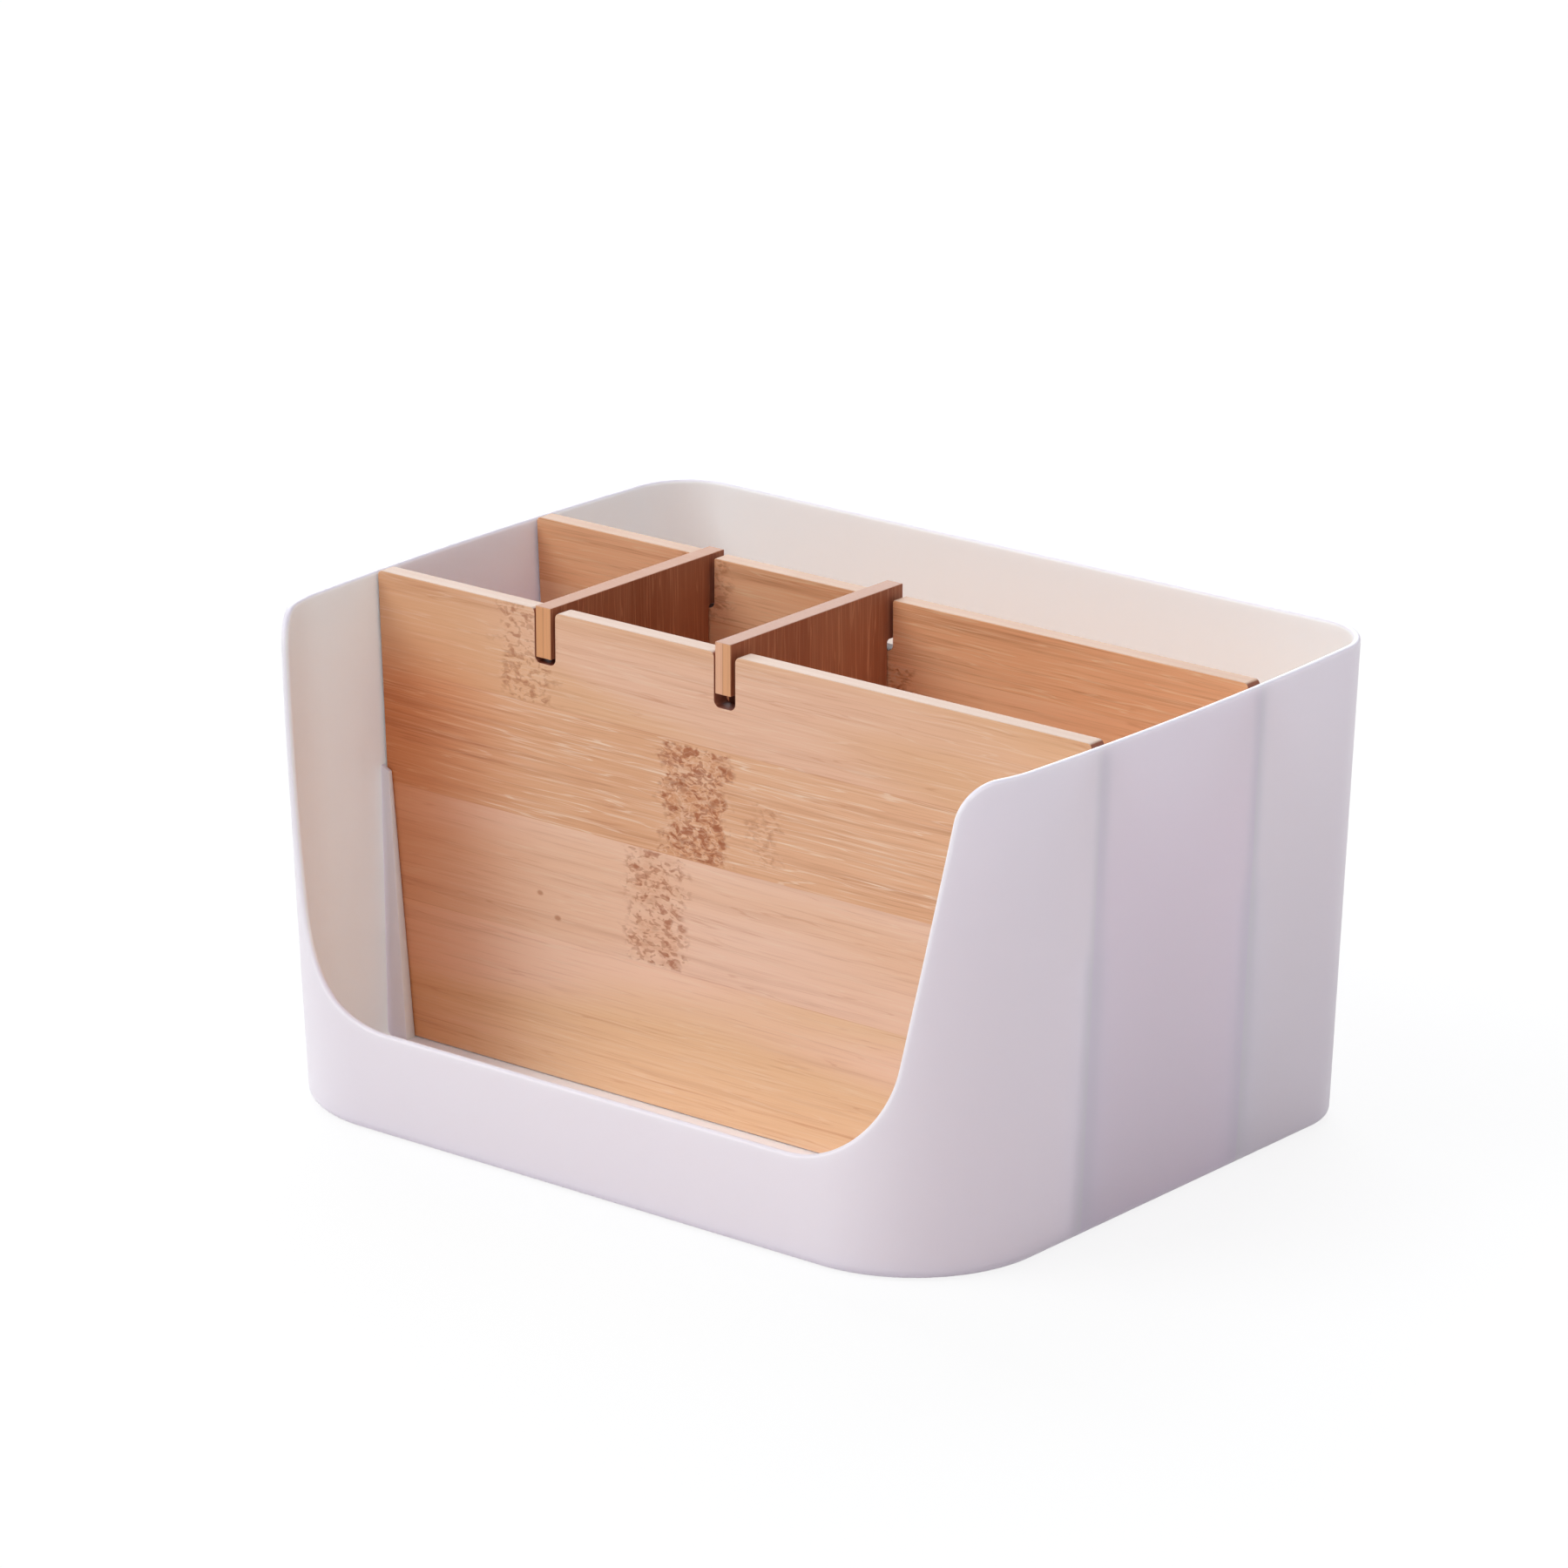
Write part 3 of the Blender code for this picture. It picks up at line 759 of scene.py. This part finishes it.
def bamboo(name, axes, joint, seed, edges, tones, grain, patches=(), specks=(), shade=None):
    """The material of one board; tones are two lists that its strips drift between."""
    board = Board(name, *axes, joint, seed)
    patch = board.patch_mask(patches)
    board.bend_grain(patch)
    drift = board.spots(DRIFT_CELL, DRIFT_LEVELS, detail=1.0)
    tone = board.mix(drift, board.strip_tone(tones[0]), board.strip_tone(tones[1]))
    tone = board.node_marks(board.joints(board.grain(tone, *grain)), patch)
    for speck in specks:
        tone = board.speck(tone, *speck)
    if shade:
        tone = board.shade(tone, *shade)
    return board.finish(board.edges(tone, *edges))


# Plastic

PLASTIC_BASE = colour(248, 241, 251)
PLASTIC_WARM = colour(248, 240, 249)
# painted shade: the side walls look darker and more violet where the compartments stand behind them
SHADE_BAND_TONE = colour(249, 236, 255)
# painted light: a warmer tint on the inner walls and a cooler one on the inner back wall, for the light
# inside the tray
INNER_LIGHT_TONE = colour(251, 247, 241)
INNER_BACK_LIGHT_TONE = colour(247, 252, 254)
RIM_SHADE_TONE = colour(226, 221, 231)      # painted shade on the upward edges of the walls, dimming the strong light from above
INNER_BACK_FROM = (34 * MM, 42 * MM)  # depth over which the inner tone becomes that of the back
RIM_FROM = (2 * FLOOR, 4 * FLOOR)     # heights over which upward faces turn from floor to rim
BAND_OUT = (108 * MM, 114 * MM)       # the painted violet shade band is on the side walls, further out than this
BAND_FRONT = FRONT_BOARD_Y + BOARD_THICKNESS / 4
BAND_REAR = REAR_BOARD_Y + BOARD_THICKNESS / 2
BAND_FADE = (90 * MM, 134 * MM)       # heights over which it fades
BAND_FADE_SHARE = 0.6
BAND_SOFTNESS = 0.8 * MM
INWARD_LEVELS = (-10 * MM, -40 * MM)
UPWARD_LEVELS = (0.35, 0.80)
LIGHT_REACH = 3.0 * MM        # how far light spreads inside the plastic
CLOUD_SIZE = 60 * MM
GRAIN_SIZE = 0.5 * MM
PLASTIC_BUMP = {"Strength": 0.12, "Distance": 0.02 * MM}
PLASTIC_ROUGHNESS = 0.34
PLASTIC_SPREAD = 0.08
PLASTIC_SPECULAR = 0.45


class Plastic(Nodes):
    """Satin white moulded plastic that lets some light through."""

    def __init__(self, name):
        super().__init__(name)
        coordinates = self.add("ShaderNodeTexCoord")
        self.place = coordinates.outputs["Object"]
        self.x, self.y, self.z = self.split(self.place)
        self.normal = self.split(coordinates.outputs["Normal"])

    def inward(self):
        """1 on the tray's inner walls: their normals point back towards the middle."""
        outward = self.plus(self.times(self.normal[0], self.x), self.times(self.normal[1], self.y))
        return self.step(outward, *INWARD_LEVELS)

    def rim(self):
        """1 on the upward faces of the walls and ribs, above the floor."""
        return self.times(self.step(self.normal[2], *UPWARD_LEVELS), self.step(self.z, *RIM_FROM))

    def shade_band(self):
        """The share of painted violet shade beside the compartments, less near the top."""
        beside = self.step(self.math("ABSOLUTE", self.x), *BAND_OUT)
        shade_band = self.times(beside, self.window(self.y, BAND_FRONT, BAND_REAR, BAND_SOFTNESS))
        faded = self.times(self.step(self.z, *BAND_FADE), BAND_FADE_SHARE)
        return self.times(shade_band, self.minus(1.0, faded))


def plastic(name):
    """The tray's material, with painted shade: more violet beside the compartments and darker along the rim;
    the inner walls carry painted light tints.
    """
    paint = Plastic(name)
    cloud = paint.noise(paint.scaled(paint.place, CLOUD_SIZE), detail=3.0)
    # painted light tints on the inner walls
    inner = paint.mix(paint.step(paint.y, *INNER_BACK_FROM), INNER_LIGHT_TONE, INNER_BACK_LIGHT_TONE)
    tone = paint.mix(paint.inward(), paint.mix(cloud, PLASTIC_BASE, PLASTIC_WARM), inner)
    # painted violet shade band beside the compartments
    tone = paint.mix(paint.shade_band(), tone, SHADE_BAND_TONE)
    # painted shade on the rim's upward faces
    tone = paint.mix(paint.rim(), tone, RIM_SHADE_TONE)
    grain = paint.noise(paint.scaled(paint.place, GRAIN_SIZE))
    bump = paint.add("ShaderNodeBump", dict(PLASTIC_BUMP, Height=grain))
    rough = paint.plus(PLASTIC_ROUGHNESS, paint.times(cloud, PLASTIC_SPREAD))
    paint.set(Base_Color=tone, Roughness=rough, Normal=bump.outputs[0],
              Specular_IOR_Level=PLASTIC_SPECULAR, Subsurface_Weight=1.0,
              Subsurface_Radius=(1.0, 1.0, 1.0), Subsurface_Scale=LIGHT_REACH)
    return paint.material


# Stage

FLOOR_HALF_SIZE = 3.0
FLOOR_DROP = 0.2 * MM
FLOOR_WHITE_SHARE = 0.86             # how much of the floor's look is plain white
FLOOR_GREY = colour(218, 212, 220)   # what the floor reflects onto the object
FLOOR_PALE = (colour(250, 250, 250), colour(248, 248, 248))
FLOOR_ROUGHNESS = 0.8


def seen_share(paint):
    """1 for rays from the camera, or by way of a reflection or of glass, and 0 for light on the object."""
    path = paint.add("ShaderNodeLightPath")
    seen = paint.math("MAXIMUM", path.outputs["Is Camera Ray"], path.outputs["Is Glossy Ray"])
    return paint.math("MAXIMUM", seen, path.outputs["Is Transmission Ray"])


def make_floor():
    bm = bmesh.new()
    corners = [(x * FLOOR_HALF_SIZE, y * FLOOR_HALF_SIZE, -FLOOR_DROP)
               for x, y in ((-1, -1), (1, -1), (1, 1), (-1, 1))]
    bm.faces.new([bm.verts.new(corner) for corner in corners])
    floor = add_object("floor", bm)
    paint = Nodes("floor")
    cloud = paint.noise(paint.add("ShaderNodeTexCoord").outputs["Object"])
    pale = paint.mix(cloud, *FLOOR_PALE)
    seen = seen_share(paint)
    paint.set(Base_Color=paint.mix(seen, FLOOR_GREY, pale), Roughness=FLOOR_ROUGHNESS)
    white = paint.add("ShaderNodeEmission", {"Strength": 1.0})
    share = paint.times(seen, FLOOR_WHITE_SHARE)
    mixed = paint.add("ShaderNodeMixShader", {0: share, 1: paint.surface.outputs[0], 2: white.outputs[0]})
    output = paint.tree.nodes["Material Output"]
    paint.tree.links.new(mixed.outputs[0], output.inputs["Surface"])
    floor.data.materials.append(paint.material)


WORLD_COLOUR = (0.985, 0.95, 1.0, 1.0)
WORLD_STRENGTH = 0.37
LAMP_DISTANCE = 1.5
SENSOR_WIDTH = 36.0
# Name, azimuth, elevation and spread in degrees, share of the light, tint
LAMPS = [("key", -42, 43, 35, 0.33, (0.95, 1.0, 1.0)),
         ("overhead", -20, 66, 50, 0.28, (0.97, 1.0, 1.0)),
         ("back", -140, 34, 50, 0.56, (0.90, 0.97, 1.0)),
         ("fill", 75, 20, 50, 0.03, (1.0, 0.97, 1.0))]


def make_world():
    """An even pale surround; what the camera sees of it is white."""
    world = bpy.data.worlds.new("studio")
    world.use_nodes = True
    tree = world.node_tree
    background = tree.nodes["Background"]
    background.inputs["Color"].default_value = WORLD_COLOUR
    background.inputs["Strength"].default_value = WORLD_STRENGTH
    white = tree.nodes.new("ShaderNodeBackground")
    white.inputs["Color"].default_value = (1, 1, 1, 1)
    white.inputs["Strength"].default_value = 1.0
    path = tree.nodes.new("ShaderNodeLightPath")
    mixed = tree.nodes.new("ShaderNodeMixShader")
    tree.links.new(path.outputs["Is Camera Ray"], mixed.inputs[0])
    tree.links.new(background.outputs[0], mixed.inputs[1])
    tree.links.new(white.outputs[0], mixed.inputs[2])
    tree.links.new(mixed.outputs[0], tree.nodes["World Output"].inputs["Surface"])
    bpy.context.scene.world = world


def direction(azimuth, elevation):
    """From the object towards a view angle, in degrees; azimuth 0 is straight in front."""
    azimuth = math.radians(azimuth)
    elevation = math.radians(elevation)
    return Vector((math.sin(azimuth) * math.cos(elevation),
                   -math.cos(azimuth) * math.cos(elevation),
                   math.sin(elevation)))


def aim(item, azimuth, elevation, distance, target):
    towards = direction(azimuth, elevation)
    item.location = target + towards * distance
    item.rotation_euler = towards.to_track_quat("Z", "Y").to_euler()


def add_sun(name, azimuth, elevation, spread, share, tint):
    """A large soft lamp. A share of 1 shows a surface that faces it in its own colour."""
    light = bpy.data.lights.new(name, "SUN")
    light.angle = math.radians(spread)
    light.energy = math.pi * share
    light.color = tint
    item = bpy.data.objects.new(name, light)
    bpy.context.scene.collection.objects.link(item)
    aim(item, azimuth, elevation, LAMP_DISTANCE, CAMERA_TARGET)


def make_lights():
    for lamp in LAMPS:
        add_sun(*lamp)


def make_camera():
    data = bpy.data.cameras.new("camera")
    data.lens = CAMERA_LENS
    data.sensor_width = SENSOR_WIDTH
    camera = bpy.data.objects.new("camera", data)
    bpy.context.scene.collection.objects.link(camera)
    aim(camera, CAMERA_AZIMUTH, CAMERA_ELEVATION, CAMERA_DISTANCE, CAMERA_TARGET)
    bpy.context.scene.camera = camera


# Assembly

FRONT_TONES = ([colour(251, 209, 180), colour(251, 209, 180), colour(248, 208, 181), colour(230, 176, 133),
                colour(240, 193, 160), colour(240, 193, 160)],
               [colour(242, 200, 157), colour(242, 200, 157), colour(242, 197, 163), colour(236, 185, 144),
                colour(234, 184, 141), colour(234, 184, 141)])
# The rear board's own tones, made oranger as painted warm shade because it stands deeper in the tray
REAR_TONES_WITH_SHADE = ([colour(252, 194, 150), colour(252, 194, 150), colour(252, 198, 155), colour(250, 188, 141),
               colour(252, 196, 152), colour(252, 196, 152)],
              [colour(246, 182, 135), colour(246, 182, 135), colour(249, 192, 149), colour(250, 197, 156),
               colour(246, 184, 137), colour(246, 184, 137)])
# painted shade: the cross boards are the same bamboo, painted much darker because they stand in shade
# between the long boards
CROSS_SHADE_TONES = ([colour(174, 106, 71), colour(164, 95, 62), colour(176, 108, 73), colour(168, 98, 65)],
               [colour(162, 93, 60), colour(172, 104, 69), colour(162, 93, 58), colour(174, 106, 71)])

# Tones of a board's edges: the two plies, and the ends of the fibres
# The long boards' dark end tone is partly the end grain's own colour and partly painted shade at the ends
# beside the walls and on the slot walls
FRONT_EDGES = (colour(209, 181, 163), colour(208, 178, 159), colour(158, 96, 72))
REAR_EDGES = (colour(204, 167, 142), colour(203, 163, 137), colour(158, 96, 72))
LEFT_EDGES = (colour(227, 164, 112), colour(235, 171, 118), colour(188, 135, 107))
RIGHT_EDGES = (colour(236, 181, 143), colour(230, 170, 121), colour(187, 140, 118))
LONG_GLUE_SHARE = 0.08
CROSS_GLUE_SHARE = 0.5

# Tone of the pale streaks, contrast, and number of the liveliest strip
FRONT_GRAIN = (colour(250, 222, 194), 0.75, 3)
REAR_GRAIN = (colour(254, 214, 172), 0.75, 4)
# the cross boards' pale streak tone is darkened as painted shade too
CROSS_GRAIN = (colour(222, 158, 118), 1.2, 9)

# Seeds that set the boards' patterns apart
FRONT_SEED = 0.0
REAR_SEED = 20.0
CROSS_SEED = 40.0

# Place along and across the board, and radius
FRONT_SPECKS = [(-65.2 * MM, 55.8 * MM, 1.0 * MM), (-58.9 * MM, 49.8 * MM, 1.1 * MM)]

# Start and end along the board, and heights at which the shade is full and least
FRONT_SHADE = (-57 * MM, -121 * MM, 100 * MM, 128 * MM)

# Middle, half width, low and high edge, and strength of each node that crosses a strip
FRONT_PATCHES = [(-69.5 * MM, 9 * MM, 110.2 * MM, 140 * MM, 0.62),
                 (-9.5 * MM, 11.0 * MM, 77.0 * MM, 109.0 * MM, 1.0),
                 (14 * MM, 4 * MM, 80 * MM, 98 * MM, 0.40),
                 (-24.0 * MM, 9.5 * MM, 44.0 * MM, 76.4 * MM, 0.80)]
REAR_PATCHES = [(-62 * MM, 8 * MM, 119.5 * MM, 140 * MM, 0.5),
                (6 * MM, 5 * MM, 86.4 * MM, 119.0 * MM, 0.8)]


def dress(piece, body, node, material):
    piece.data.materials.clear()
    piece.data.materials.append(material)
    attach(piece, body)
    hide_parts(node)


def dress_long_board(side, front_face, slot, joint, seed, tones, edge_tones, grain, patches, **marks):
    middle = front_face + BOARD_THICKNESS / 2
    edges = (middle, (BOARD_FOOT, BOARD_TOP), edge_tones, LONG_GLUE_SHARE)
    material = bamboo("bamboo " + side, "XZY", joint, seed, edges, tones, grain, patches, **marks)
    board = make_long_board(side + "_board", front_face, slot)
    dress(board, side + "_divider", side + "_divider", material)


def dress_cross_board(side, seed, edge_tones):
    node = side + "_cross_divider"
    middle = cad(node, 0, "x") + BOARD_THICKNESS / 2
    edges = (middle, (CROSS_FRONT_Y, CROSS_REAR_Y), edge_tones, CROSS_GLUE_SHARE)
    material = bamboo("bamboo " + side, "ZYX", 0.0, seed, edges, CROSS_SHADE_TONES, CROSS_GRAIN)
    dress(make_cross_board(side + "_cross_board", node), node, node, material)


def main():
    scene = bpy.context.scene
    scene.view_settings.view_transform = "Standard"
    dress(make_tray(), "tray", "tray", plastic("white plastic"))
    dress_long_board("front", FRONT_BOARD_Y, FRONT_SLOT, STRIP_JOINT, FRONT_SEED, FRONT_TONES, FRONT_EDGES,
                     FRONT_GRAIN, FRONT_PATCHES, specks=FRONT_SPECKS, shade=FRONT_SHADE)
    dress_long_board("rear", REAR_BOARD_Y, REAR_SLOT, REAR_JOINT, REAR_SEED, REAR_TONES_WITH_SHADE, REAR_EDGES,
                     REAR_GRAIN, REAR_PATCHES)
    dress_cross_board("left", CROSS_SEED, LEFT_EDGES)
    dress_cross_board("right", CROSS_SEED + 1, RIGHT_EDGES)
    make_floor()
    make_world()
    make_lights()
    make_camera()


main()
